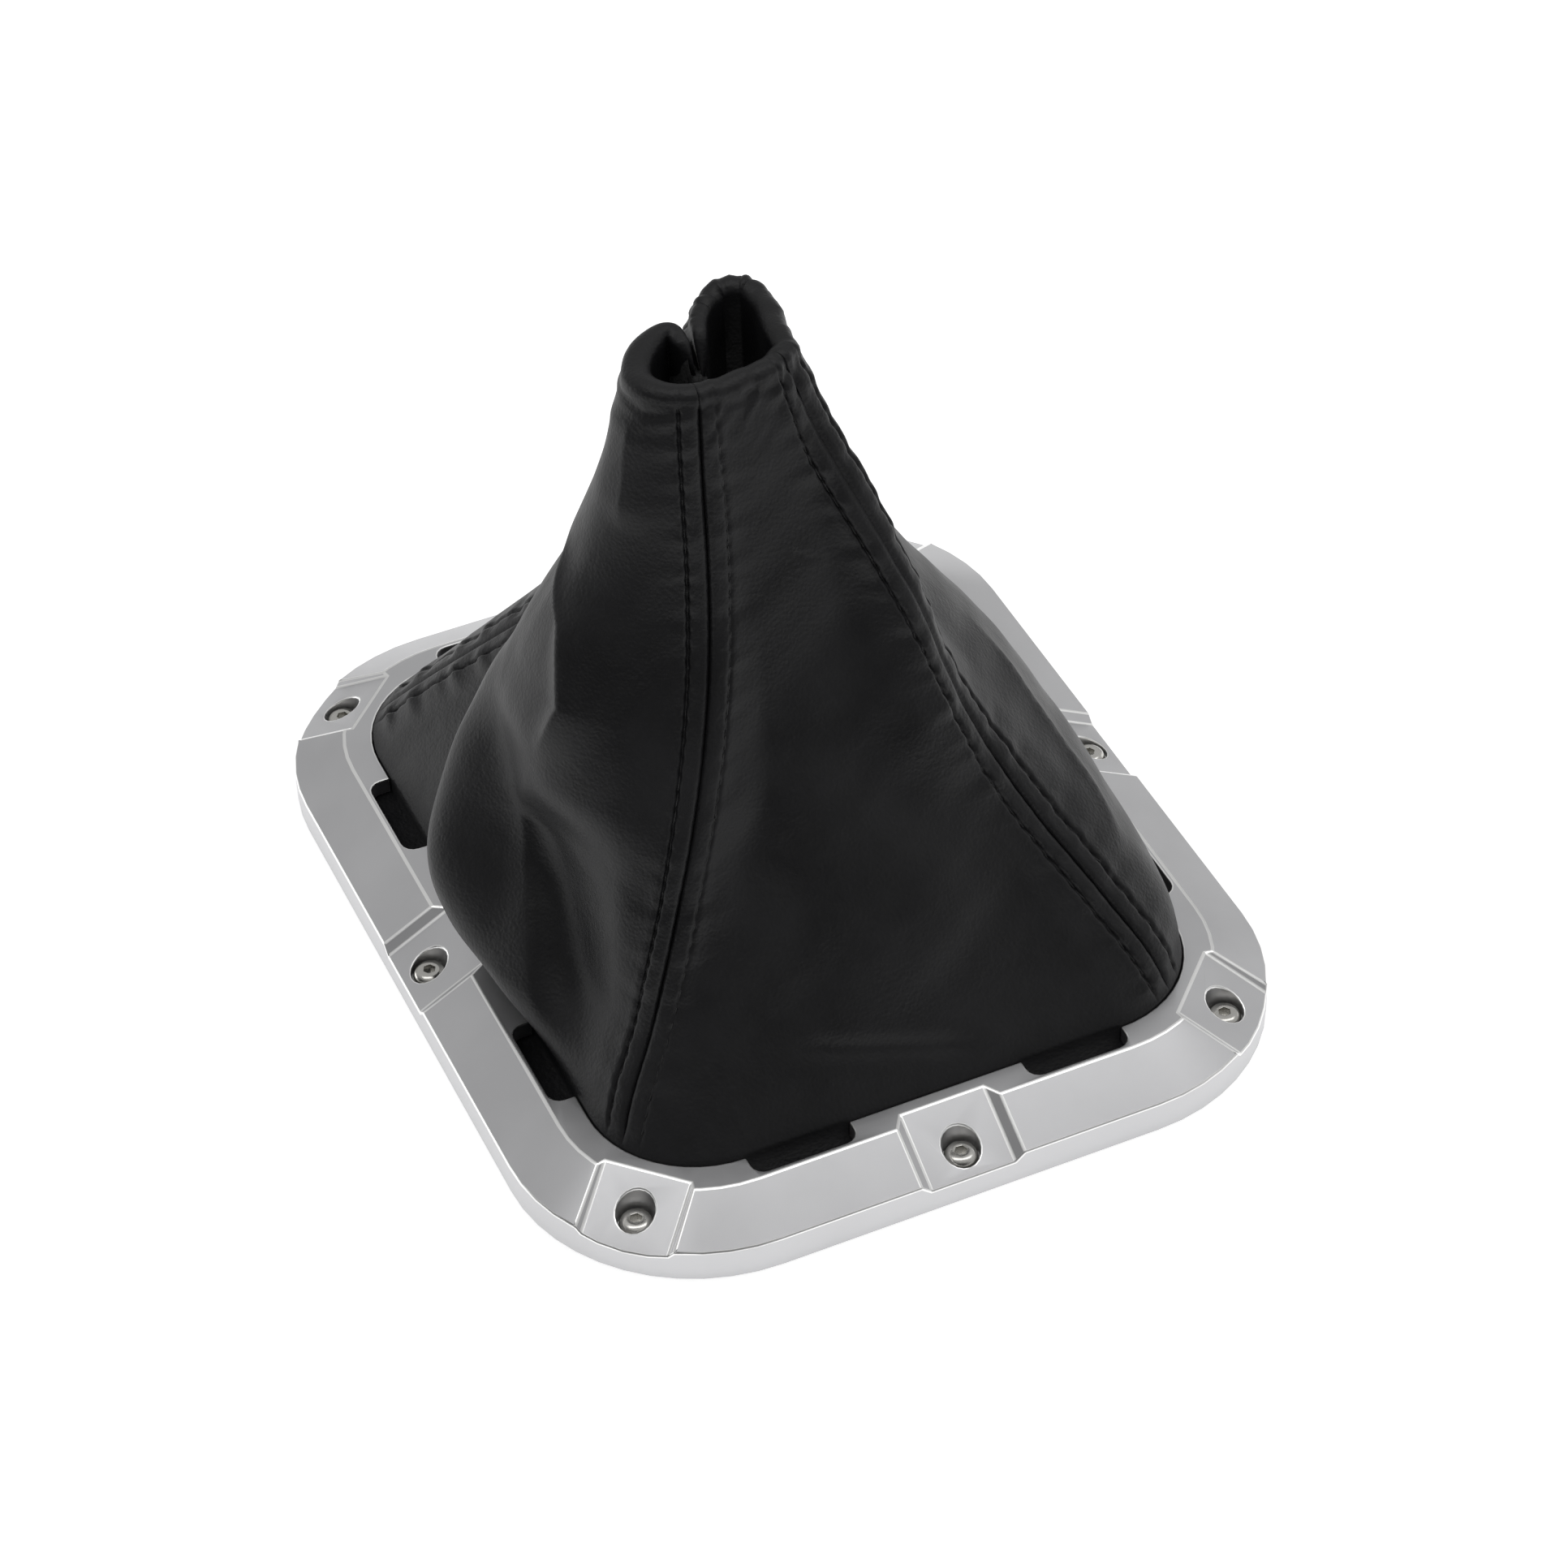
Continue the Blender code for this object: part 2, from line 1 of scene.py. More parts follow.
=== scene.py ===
import math

import bmesh
import bpy
import numpy as np
from mathutils import Matrix, Vector


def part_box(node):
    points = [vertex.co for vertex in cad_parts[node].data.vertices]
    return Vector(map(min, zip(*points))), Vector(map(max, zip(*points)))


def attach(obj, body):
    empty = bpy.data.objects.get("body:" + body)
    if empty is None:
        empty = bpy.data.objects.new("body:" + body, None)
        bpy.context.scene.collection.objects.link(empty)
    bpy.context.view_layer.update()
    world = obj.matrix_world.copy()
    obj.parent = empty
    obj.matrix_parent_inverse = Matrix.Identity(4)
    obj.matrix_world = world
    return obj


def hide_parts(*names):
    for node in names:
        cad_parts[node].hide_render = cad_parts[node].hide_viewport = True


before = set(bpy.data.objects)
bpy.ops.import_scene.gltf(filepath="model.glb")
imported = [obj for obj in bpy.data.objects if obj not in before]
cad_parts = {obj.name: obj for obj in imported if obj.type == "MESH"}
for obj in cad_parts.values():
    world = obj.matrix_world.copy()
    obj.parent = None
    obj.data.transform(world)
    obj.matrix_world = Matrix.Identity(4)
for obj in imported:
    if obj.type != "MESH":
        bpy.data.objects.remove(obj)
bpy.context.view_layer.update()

# Trim ring, in metres as in the frame
RING_WIDTH = 0.1778
RING_LENGTH = 0.2159
CORNER_RADIUS = 0.04445
RIDGE_HEIGHT = 0.0145
LEDGE_INSET = 0.0188
LEDGE_UNDERSIDE = 0.0105
EDGE_BREAK = 0.00042

# Button-head screws
SCREW_HEAD_RADIUS = 0.0038
SCREW_HEAD_HEIGHT = 0.0022
SCREW_HEAD_BOTTOM = 0.0058
SCREW_SHANK_RADIUS = 0.0020
SCREW_LENGTH = 0.0052
SOCKET_RADIUS = 0.00144
SOCKET_DEPTH = 0.0013
SCREW_SIDES = 48
CROWN_FLAT = SCREW_HEAD_RADIUS * 0.52
CROWN_START = 0.0003
CROWN_STEPS = 8
HEAD_CHAMFER = 0.0001
SHANK_CHAMFER = 0.0003

# Boot
LEATHER = 0.0012
GAP = 0.0003
FLANGE_INSET = 0.0139
BOOT_INSET = LEDGE_INSET + GAP
BOOT_START = RIDGE_HEIGHT + GAP
FLANGE_TOP = LEDGE_UNDERSIDE - GAP
BOOT_HEIGHT = 0.1570
BOOT_WAIST = 0.14
FOOT_HOLD = 0.10
HEM_RADIUS = 0.0025
HEM_ROLL = 0.0028
HEM_RISE = 0.0026
HEM_DEPTH = 0.0220
HEM_DENTS = 0.00035
UNEVENNESS = 0.00035
WALL_ROWS = 230
CURL_ROWS = 12
LEAF_ROWS = 8

MOUTH = {
    "right": [(0.0050, -0.0120), (0.0087, -0.0076), (0.0107, -0.0005), (0.0113, 0.0082), (0.0092, 0.0160)],
    "rear": [(0.0092, 0.0160), (0.0052, 0.0199), (0.0000, 0.0194), (-0.0046, 0.0152)],
    "left": [
        (-0.0046, 0.0152), (-0.0078, 0.0108), (-0.0088, 0.0060), (-0.0096, 0.0012), (-0.0108, 0.0012),
        (-0.0102, 0.0060), (-0.0096, 0.0106), (-0.0126, 0.0124), (-0.0182, 0.0104), (-0.0230, 0.0060),
        (-0.0262, 0.0000), (-0.0260, -0.0066), (-0.0236, -0.0114), (-0.0176, -0.0150),
    ],
    "front": [
        (-0.0176, -0.0150), (-0.0120, -0.0156), (-0.0055, -0.0150), (0.0003, -0.0140), (0.0050, -0.0120),
    ],
}
PANELS = ["right", "rear", "left", "front"]

# Columns of points between the two seams' own columns
PANEL_COLUMNS = {"right": 64, "rear": 48, "left": 130, "front": 64}

# Seams: each panel's first one is the previous panel's last. A place round the boot is 0 in the middle
# of the right panel, 1 in the middle of the rear one and so on, so a seam is at each half.
SEAMS = ["front_right", "rear_right", "rear_left", "front_left"]
SEAM_SHIFTS = {3.5: -0.0043, 2.5: -0.0080, 1.5: 0.0031}

# Seam that bows sideways: place, half-width, height share, half-height, change of place
SEAM_BOW = (2.5, 0.5, 0.595, 0.593, 0.139)

# Folds: place at the foot, place at the head, half-width, height share, half-height, push outwards.
# From rear_lobe_left on they are finer than the solids.
FOLDS = {
    "right_bulge": (-0.28, 0.24, 0.45, 0.26, 0.46, 0.0131),
    "front_bulge": (3.00, 3.00, 0.40, 0.30, 0.30, 0.0040),
    "rear_bulge": (1.60, 0.46, 0.30, 0.43, 0.29, 0.0031),
    "left_bulge": (2.23, 1.27, 0.22, 0.19, 0.50, 0.0118),
    "left_valley": (1.75, 1.23, 0.38, 0.35, 0.31, -0.0074),
    "left_ridge": (2.32, 1.76, 0.49, 0.51, 0.40, 0.0168),
    "rear_left_swell": (2.03, 1.71, 0.36, 0.14, 0.17, 0.0051),
    "front_right_flare": (3.04, 3.76, 0.28, 0.66, 0.45, 0.0074),
    "neck_flare": (2.00, 2.18, 0.31, 0.67, 0.47, 0.0086),
    "left_side_swell": (2.00, 1.94, 0.15, 0.22, 0.38, 0.0085),
    "front_left_flare": (2.43, 2.62, 0.20, 0.43, 0.33, 0.0047),
    "rear_lobe_left": (1.25, 1.25, 0.35, 1.00, 0.16, 0.0007),
    "rear_lobe_right": (0.45, 0.45, 0.35, 1.00, 0.16, 0.0012),
    "right_side_in": (-0.20, -0.20, 0.50, 0.85, 0.38, -0.0018),
    "front_high_swell": (3.24, 3.24, 0.22, 0.50, 0.13, 0.0015),
    "front_low_swell": (3.08, 3.08, 0.22, 0.21, 0.13, 0.0015),
    "front_seam_swell": (2.70, 2.70, 0.13, 0.29, 0.12, 0.0011),
    "front_foot_swell": (3.14, 3.14, 0.09, 0.03, 0.05, 0.0012),
}

# Rises and drops of the rim: place, half-width, rise
RIM_WAVES = {"pleat_drop": (1.75, 0.12, -0.0090), "rear_rise": (0.80, 0.60, 0.0010)}

# Where the hem is pressed flat: place, half-width, share of its roll that is lost
HEM_PRESS = (1.70, 0.42, 0.50)

# Creases: path as places and heights, kind, depth, width; edges and shelves fall away beyond their line
CREASES = {
    "left_fold": (
        [
            (2.10, 0.74), (2.15, 0.69), (2.198, 0.65), (2.215, 0.60), (2.228, 0.55), (2.21, 0.50),
            (2.185, 0.45),
        ],
        "edge", 0.0040, 0.0020,
    ),
    "neck_ridge": ([(2.30, 0.97), (2.288, 0.92), (2.285, 0.86), (2.27, 0.80)], "ridge", 0.0012, 0.0026),
    "left_ridge_line": (
        [(2.27, 0.05), (2.235, 0.12), (2.195, 0.19), (2.16, 0.24), (2.13, 0.30), (2.15, 0.36), (2.18, 0.43)],
        "shelf", 0.0042, 0.0046,
    ),
    "right_crease": (
        [(-0.14, 0.45), (-0.21, 0.37), (-0.27, 0.30), (-0.33, 0.23), (-0.42, 0.16)], "ridge", 0.0013, 0.0032,
    ),
    "front_crease": ([(2.76, 0.115), (2.88, 0.085), (3.01, 0.055), (3.14, 0.030)], "groove", 0.0008, 0.0022),
    "front_wrinkle": ([(3.05, 0.742), (3.13, 0.728), (3.22, 0.716)], "groove", 0.0002, 0.0010),
    "left_pinch": ([(2.13, 0.985), (2.10, 0.965), (2.05, 0.94)], "groove", 0.0010, 0.0018),
}

# Distances from a seam, in millimetres, at which a panel has its columns, and the column that is stitched
SEAM_COLUMNS = [0, 0.15, 0.35, 0.65, 1.1, 1.8, 2.7, 3.4, 3.9, 4.25, 4.5, 4.75, 5.1, 5.6, 6.4, 7.6, 9.4, 12.0]
STITCH_COLUMN = 10
STITCH_LENGTH = 0.0030
STITCH_PITCH = 0.0037
STITCH_ARCH = 0.00030
STITCH_START = 0.004
STITCH_MARGIN = 0.012
THREAD_RADIUS = 0.00026
THREAD_RISE = 0.00018

# Leather beside a seam: its length up the wall, the rolled edge, the padded strip, the row and the puckers
SEAM_LENGTH = 0.165
EDGE_DEPTH = 0.00065
STRIP_RISE = 0.00050
ROW_DISTANCE = 0.0045
ROW_DEPTH = 0.00125
PUCKER_RISE = 0.00022
PUCKER_PITCH = 0.0075

# How deep each panel's rows of stitches are drawn in, at its first and last seam
STITCH_PULL = {"right": (1.0, 0.6), "rear": (0.6, 1.0), "left": (1.1, 1.15), "front": (0.38, 1.05)}

# Puckers beside each seam, and how open the seam is below and above its middle
SEAM_PUCKERS = {"front_right": 1.3, "rear_right": 1.0, "rear_left": 2.6, "front_left": 0.8}
SEAM_OPENING = {
    "front_right": (1.0, 0.12), "rear_right": (0.6, 0.6), "rear_left": (0.5, 0.5), "front_left": (1.0, 1.0),
}

# The camera that the photograph was taken with, as fitted to the ring's outline
CAMERA_AZIMUTH = -22.792
CAMERA_ELEVATION = 42.183
CAMERA_ROLL = -2.244
CAMERA_LENS = 106.34
CAMERA_PLACE = (-0.29503, -0.71411, 0.73068)

# Softboxes: place, short and long side, power
SOFTBOXES = {
    "overhead_softbox": ((0.10, -0.02, 1.50), (0.60, 2.2), 6.4),
    "left_softbox": ((-1.00, 0.80, 0.12), (0.7, 0.2), 1.2),
    "right_softbox": ((1.35, 0.20, 0.22), (0.6, 0.5), 0.7),
}
SOFTBOX_TARGET = (0, 0, 0.05)
FLOOR_GLOW = 0.62
FLOOR_HALF = 6


def new_finish(name, roughness, metallic=0.0):
    material = bpy.data.materials.new(name)
    material.use_nodes = True
    shader = material.node_tree.nodes["Principled BSDF"]
    shader.inputs["Roughness"].default_value = roughness
    shader.inputs["Metallic"].default_value = metallic
    return material, material.node_tree, shader


def add_node(tree, kind, **values):
    node = tree.nodes.new("ShaderNode" + kind)
    for name, value in values.items():
        if name in node.inputs:
            node.inputs[name].default_value = value
        else:
            setattr(node, name, value)
    return node


def noise_on(tree, where, scale, detail=3.0, roughness=0.5):
    node = add_node(tree, "TexNoise", Scale=scale, Detail=detail, Roughness=roughness)
    tree.links.new(where, node.inputs["Vector"])
    return node.outputs["Fac"]


def spread(tree, value, low, high, start=0.3, end=0.7):
    """A value between start and end, remapped to run from low to high."""
    node = tree.nodes.new("ShaderNodeMapRange")
    node.inputs["From Min"].default_value = start
    node.inputs["From Max"].default_value = end
    node.inputs["To Min"].default_value = low
    node.inputs["To Max"].default_value = high
    tree.links.new(value, node.inputs["Value"])
    return node.outputs["Result"]


def two_tone(tree, value, dark, light, start=0.35, end=0.65):
    ramp = tree.nodes.new("ShaderNodeValToRGB")
    ramp.color_ramp.elements[0].position = start
    ramp.color_ramp.elements[0].color = (*dark, 1)
    ramp.color_ramp.elements[1].position = end
    ramp.color_ramp.elements[1].color = (*light, 1)
    tree.links.new(value, ramp.inputs["Fac"])
    return ramp.outputs["Color"]


def relief(tree, height, distance, strength, below=None):
    bump = add_node(tree, "Bump", Strength=strength, Distance=distance)
    tree.links.new(height, bump.inputs["Height"])
    if below:
        tree.links.new(below, bump.inputs["Normal"])
    return bump.outputs["Normal"]


def object_place(tree):
    return tree.nodes.new("ShaderNodeTexCoord").outputs["Object"]


def satin_metal(name, dark, light, roughness, grain=5200):
    """Metal with a fine even grain, faint cloudiness and a satin gloss."""
    material, tree, shader = new_finish(name, roughness, 1.0)
    where = object_place(tree)
    cloud = noise_on(tree, where, 38, 4)
    fine = noise_on(tree, where, grain, 2, 0.6)
    tree.links.new(two_tone(tree, cloud, dark, light), shader.inputs["Base Color"])
    tree.links.new(spread(tree, cloud, roughness - 0.04, roughness + 0.05), shader.inputs["Roughness"])
    tree.links.new(relief(tree, fine, 0.00003, 0.35), shader.inputs["Normal"])
    return material


def grained_leather():
    """Black leather: pebbled grain, fine pores, and a gloss that varies over the hide."""
    material, tree, shader = new_finish("grained_black_leather", 0.5)
    where = object_place(tree)
    bent = add_node(tree, "TexNoise", Scale=900.0, Detail=2.0)
    tree.links.new(where, bent.inputs["Vector"])
    cells = add_node(tree, "TexVoronoi", Scale=1250.0, feature="SMOOTH_F1")
    cells.inputs["Smoothness"].default_value = 0.6
    shifted = tree.nodes.new("ShaderNodeVectorMath")
    shifted.operation = "MULTIPLY_ADD"
    shifted.inputs[1].default_value = (0.0006, 0.0006, 0.0006)
    tree.links.new(bent.outputs["Color"], shifted.inputs[0])
    tree.links.new(where, shifted.inputs[2])
    tree.links.new(shifted.outputs[0], cells.inputs["Vector"])
    hide = noise_on(tree, where, 45, 5, 0.6)
    wrinkle = noise_on(tree, where, 210, 4, 0.65)
    pores = noise_on(tree, where, 4200, 2)
    tint = two_tone(tree, hide, (0.0072, 0.0072, 0.0080), (0.0125, 0.0125, 0.0137))
    tree.links.new(tint, shader.inputs["Base Color"])
    tree.links.new(spread(tree, hide, 0.42, 0.54), shader.inputs["Roughness"])
    shader.inputs["Specular IOR Level"].default_value = 0.30
    normal = relief(tree, wrinkle, 0.0006, 0.25)
    normal = relief(tree, cells.outputs["Distance"], 0.00020, 0.35, normal)
    normal = relief(tree, pores, 0.00005, 0.30, normal)
    tree.links.new(normal, shader.inputs["Normal"])
    return material


def suede_back():
    """Flesh side of the hide, seen only from below and down the mouth."""
    material, tree, shader = new_finish("black_suede_back", 0.95)
    where = object_place(tree)
    nap = noise_on(tree, where, 1800, 4, 0.7)
    tint = two_tone(tree, nap, (0.022, 0.022, 0.022), (0.045, 0.045, 0.046))
    tree.links.new(tint, shader.inputs["Base Color"])
    shader.inputs["Specular IOR Level"].default_value = 0.15
    tree.links.new(relief(tree, nap, 0.0002, 0.6), shader.inputs["Normal"])
    return material


def twisted_thread():
    """Bonded black thread with a faint twist in its gloss."""
    material, tree, shader = new_finish("black_bonded_thread", 0.5)
    where = object_place(tree)
    twist = noise_on(tree, where, 2600, 2)
    tint = two_tone(tree, twist, (0.006, 0.006, 0.006), (0.016, 0.016, 0.017))
    tree.links.new(tint, shader.inputs["Base Color"])
    tree.links.new(relief(tree, twist, 0.00008, 0.6), shader.inputs["Normal"])
    return material


def new_piece(name, bm, finishes, nodes):
    """Object in the scene from a bmesh, riding on the part's body and standing for its CAD nodes."""
    mesh = bpy.data.meshes.new(name)
    bm.to_mesh(mesh)
    bm.free()
    piece = bpy.data.objects.new(name, mesh)
    bpy.context.scene.collection.objects.link(piece)
    for finish in finishes:
        mesh.materials.append(finish)
    mesh.shade_smooth()
    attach(piece, "root")
    if nodes:
        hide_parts(*nodes)
    return piece


def machined_ring(finish, painted_highlight_finish):
    """Trim ring from its CAD solid, with every milled edge broken and its bevels given paler, glossier metal
    as a painted highlight.
    """
    bm = bmesh.new()
    bm.from_mesh(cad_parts["bezel"].data)
    bmesh.ops.remove_doubles(bm, verts=bm.verts, dist=0.000002)
    bmesh.ops.dissolve_limit(bm, angle_limit=math.radians(0.6), verts=bm.verts, edges=bm.edges)
    bmesh.ops.connect_verts_concave(bm, faces=[f for f in bm.faces if len(f.verts) > 6])
    milled = [e for e in bm.edges if not any(f.normal.z < -0.5 for f in e.link_faces)]
    sharp = [e for e in milled if e.calc_face_angle() > math.radians(24)]
    broken = bmesh.ops.bevel(
        bm, geom=sharp, offset=EDGE_BREAK, offset_type="OFFSET", segments=2,
        profile=0.5, affect="EDGES", material=-1, clamp_overlap=False,
    )["faces"]
    # The bevel faces take the paler edge metal: a painted highlight along every broken edge
    for face in broken:
        face.material_index = 1
    ring = new_piece("machined_trim_ring", bm, [finish, painted_highlight_finish], ["bezel"])
    ring.data.set_sharp_from_angle(angle=math.radians(28))
    weighted = ring.modifiers.new("flat_faces", "WEIGHTED_NORMAL")
    weighted.keep_sharp = True
    return ring


def grow_ring(bm, edges, points):
    """Extrudes a loop of edges and lays its new loop on the given points."""
    made = bmesh.ops.extrude_edge_only(bm, edges=edges)["geom"]
    for vert in [v for v in made if isinstance(v, bmesh.types.BMVert)]:
        angle = math.atan2(vert.co.y, vert.co.x)
        vert.co = points(angle)
    return [e for e in made if isinstance(e, bmesh.types.BMEdge)]


def round_at(radius, height):
    return lambda angle: Vector((radius * math.cos(angle), radius * math.sin(angle), height))


def hexagon_at(radius, height):
    """Point on a hexagon of the given corner radius, in the direction of an angle."""
    def point(angle):
        local = (angle + math.pi / 6) % (math.pi / 3) - math.pi / 6
        reach = radius * math.cos(math.pi / 6) / math.cos(local)
        return Vector((reach * math.cos(angle), reach * math.sin(angle), height))
    return point


def button_screw(name, finish):
    """Button head with a hexagon socket, crowned and with its edges eased, on a plain shank."""
    low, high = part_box(name)
    centre = Vector(((low[0] + high[0]) / 2, (low[1] + high[1]) / 2, SCREW_HEAD_BOTTOM))
    top = SCREW_HEAD_HEIGHT
    floor = top - SOCKET_DEPTH
    bm = bmesh.new()
    bmesh.ops.create_circle(bm, cap_ends=False, segments=SCREW_SIDES, radius=SOCKET_RADIUS)
    for vert in bm.verts:
        vert.co = hexagon_at(SOCKET_RADIUS, floor)(math.atan2(vert.co.y, vert.co.x))
    outlines = [
        hexagon_at(SOCKET_RADIUS, top - 0.00012),
        hexagon_at(SOCKET_RADIUS + 0.00004, top - 0.00003),
        hexagon_at(SOCKET_RADIUS + 0.00013, top),
        round_at(CROWN_FLAT, top),
    ]
    for step in range(1, CROWN_STEPS + 1):
        turn = math.pi / 2 * step / CROWN_STEPS
        radius = CROWN_FLAT + (SCREW_HEAD_RADIUS - CROWN_FLAT) * math.sin(turn)
        outlines.append(round_at(radius, CROWN_START + (top - CROWN_START) * math.cos(turn)))
    outlines += [
        round_at(SCREW_HEAD_RADIUS, HEAD_CHAMFER),
        round_at(SCREW_HEAD_RADIUS - HEAD_CHAMFER, 0),
        round_at(SCREW_SHANK_RADIUS, 0),
        round_at(SCREW_SHANK_RADIUS, -SCREW_LENGTH + SHANK_CHAMFER),
        round_at(SCREW_SHANK_RADIUS - SHANK_CHAMFER, -SCREW_LENGTH),
    ]
    edges = socket_floor = list(bm.edges)
    for outline in outlines:
        edges = grow_ring(bm, edges, outline)
    bmesh.ops.contextual_create(bm, geom=edges)
    bmesh.ops.contextual_create(bm, geom=socket_floor)
    bmesh.ops.recalc_face_normals(bm, faces=bm.faces)
    turned = Matrix.Rotation(centre.x * 31 + centre.y * 17, 3, "Z")
    bmesh.ops.rotate(bm, cent=(0, 0, 0), matrix=turned, verts=bm.verts)
    bmesh.ops.translate(bm, vec=centre, verts=bm.verts)
    screw = new_piece("button_" + name, bm, [finish], [name])
    screw.data.set_sharp_from_angle(angle=math.radians(34))
    return screw


def bump(distance, half_width):
    """Smooth hump that is one in the middle and nothing at the half-width."""
    share = np.clip(np.abs(distance) / half_width, 0, 1)
    return (1 - share ** 2) ** 2


def swell(distance, half_width):
    """Hump much like bump, with a border that runs out softer."""
    share = np.clip(np.abs(distance) / (1.2 * half_width), 0, 1)
    return (1 - share ** 2) ** 3


def ease(value, start, end):
    """Smooth step from nothing at the start to one at the end."""
    share = np.clip((value - start) / (end - start), 0, 1)
    return share * share * (3 - 2 * share)


def round_distance(place, centre):
    return (place - centre + 2) % 4 - 2


def smooth_path(points, share):
    spans = len(points) - 1
    index = min(int(share * spans), spans - 1)
    local = share * spans - index
    near = [points[max(index - 1, 0)], points[index], points[index + 1], points[min(index + 2, spans)]]
    weights = [
        -0.5 * local + local ** 2 - 0.5 * local ** 3, 1 - 2.5 * local ** 2 + 1.5 * local ** 3,
        0.5 * local + 2 * local ** 2 - 1.5 * local ** 3, -0.5 * local ** 2 + 0.5 * local ** 3,
    ]
    return sum((np.array(point) * weight for weight, point in zip(weights, near)), np.zeros(2))


def mouth_point(place):
    panel = int(math.floor(place + 0.5)) % 4
    share = place + 0.5 - math.floor(place + 0.5)
    before = MOUTH[PANELS[panel - 1]]
    after = MOUTH[PANELS[(panel + 1) % 4]]
    own = MOUTH[PANELS[panel]]
    spans = len(own) - 1
    return smooth_path([before[-2]] + own + [after[1]], (1 + share * spans) / (spans + 2))


def opening_point(place, inset):
    """Point on the ring's outline moved inwards: each quarter runs from one corner's middle to the next."""
    panel = int(math.floor(place + 0.5)) % 4
    share = place - math.floor(place + 0.5)
    radius = CORNER_RADIUS - inset
    arc = radius * math.pi / 4
    straights = [RING_LENGTH / 2 - CORNER_RADIUS, RING_WIDTH / 2 - CORNER_RADIUS]
    half = straights[panel % 2] + arc
    shift = sum(move * bump(round_distance(place, at), 0.5) for at, move in SEAM_SHIFTS.items())
    along = share * 2 * half + shift
    if abs(along) > half:
        way = 1 if along > 0 else -1
        panel = (panel + way) % 4
        along -= way * (half + straights[panel % 2] + arc)
    straight = straights[panel % 2]
    reach = (RING_LENGTH if panel % 2 else RING_WIDTH) / 2 - inset
    angle = max(abs(along) - straight, 0) / radius
    side = min(abs(along), straight) + radius * math.sin(angle)
    x = reach - radius * (1 - math.cos(angle))
    y = math.copysign(side, along)
    turn = [(1, 0), (0, 1), (-1, 0), (0, -1)][panel]
    return np.array([x * turn[0] - y * turn[1], x * turn[1] + y * turn[0]])


# Outlines of the boot at its foot and its mouth, walked once round
WALK = np.linspace(-0.5, 3.5, 1601)
FOOT_LINE = np.array([opening_point(place, BOOT_INSET) for place in WALK])
FLANGE_LINE = np.array([opening_point(place, FLANGE_INSET) for place in WALK])
MOUTH_LINE = np.array([mouth_point(place) for place in WALK])
RING_LINE = np.array([opening_point(place, 0) for place in WALK])


def along_line(line, place):
    wrapped = (place + 0.5) % 4 - 0.5
    return np.stack([np.interp(wrapped, WALK, line[:, axis]) for axis in (0, 1)], axis=-1)


def wall_point(place, height):
    """Point on the boot's smooth outer face: height is 0 just above the ledge and 1 at the hem."""
    share = (height + BOOT_WAIST * np.sin(np.pi * height))[..., None]
    at, wide, level, tall, change = SEAM_BOW
    bowed = place + change * bump(round_distance(place, at), wide) * bump(height - level, tall)
    flat = along_line(FOOT_LINE, bowed) * (1 - share) + along_line(MOUTH_LINE, bowed) * share
    push = np.zeros_like(place)
    for foot, head, wide, level, tall, out in FOLDS.values():
        centre = foot + (head - foot) * height
        push = push + out * swell(round_distance(place, centre), wide) * swell(height - level, tall)
    push = push * (1 - np.clip(1 - height / FOOT_HOLD, 0, 1) ** 2)
    out = along_line(RING_LINE, place)
    flat = flat + out / np.linalg.norm(out, axis=-1, keepdims=True) * push[..., None]
    waves = sum(rise * bump(round_distance(place, at), wide) for at, wide, rise in RIM_WAVES.values())
    rise = BOOT_START + height * (BOOT_HEIGHT - HEM_RADIUS + waves - BOOT_START)
    return np.concatenate([flat, rise[..., None]], axis=-1)


def unit(vectors):
    return vectors / np.maximum(np.linalg.norm(vectors, axis=-1, keepdims=True), 1e-12)


def wall_outward(place, height):
    step = 0.004
    around = wall_point(place + step, height) - wall_point(place - step, height)
    upward = wall_point(place, height + step) - wall_point(place, height - step)
    return unit(np.cross(around, upward))


def waviness(values, seed):
    """Gentle uneven wave with a period near one, the same each run."""
    return (
        np.sin(2 * np.pi * values + seed) * 0.5 + np.sin(2 * np.pi * values * 0.61 + 2.3 * seed) * 0.3
        + np.sin(2 * np.pi * values * 1.73 + 4.1 * seed) * 0.2
    )


def crease_relief(place, height, around):
    """Height added by the creases at points of one row; around is a quarter of the row's length.

    Edges and shelves are measured level with the point, and ridges and grooves by the nearest distance.
    """
    lift = np.zeros_like(place)
    for path, kind, depth, width in CREASES.values():
        if kind in ("edge", "shelf"):
            spots = np.array(sorted(path, key=lambda spot: spot[1]))
            low, high = spots[[0, -1], 1]
            beside = round_distance(place, np.interp(height, spots[:, 1], spots[:, 0])) * around
            beyond = np.maximum(beside if kind == "shelf" else -beside, 0)
            far, lip, top = (0.012, 0.16, 0.07) if kind == "edge" else (0.034, 0, 0.10)
            profile = 0.30 * np.exp(-(beside / 0.006) ** 2) + lip * np.exp(-(beside / 0.0013) ** 2)
            profile -= (1 - np.exp(-beyond / width)) * np.exp(-beyond / far)
            lift += depth * profile * ease(height, low, low + 0.10) * (1 - ease(height, high - top, high))
            continue
        spans = len(path) - 1
        best = np.ones_like(place)
        along = np.zeros_like(place)
        for number in range(spans):
            (place_a, height_a), (place_b, height_b) = path[number], path[number + 1]
            ahead = np.array([(place_b - place_a) * around, (height_b - height_a) * BOOT_HEIGHT])
            upward = np.full_like(place, (height - height_a) * BOOT_HEIGHT)
            offset = np.stack([round_distance(place, place_a) * around, upward])
            share = np.clip((offset[0] * ahead[0] + offset[1] * ahead[1]) / (ahead @ ahead), 0, 1)
            away = offset - share * ahead[:, None]
            distance = np.hypot(away[0], away[1])
            closer = distance < best
            best = np.where(closer, distance, best)
            along = np.where(closer, (number + share) / spans, along)
        profile = np.exp(-best / width) if kind == "ridge" else -np.exp(-(best / width) ** 2)
        lift += depth * profile * ease(along, 0, 0.25) * (1 - ease(along, 0.75, 1))
    return lift


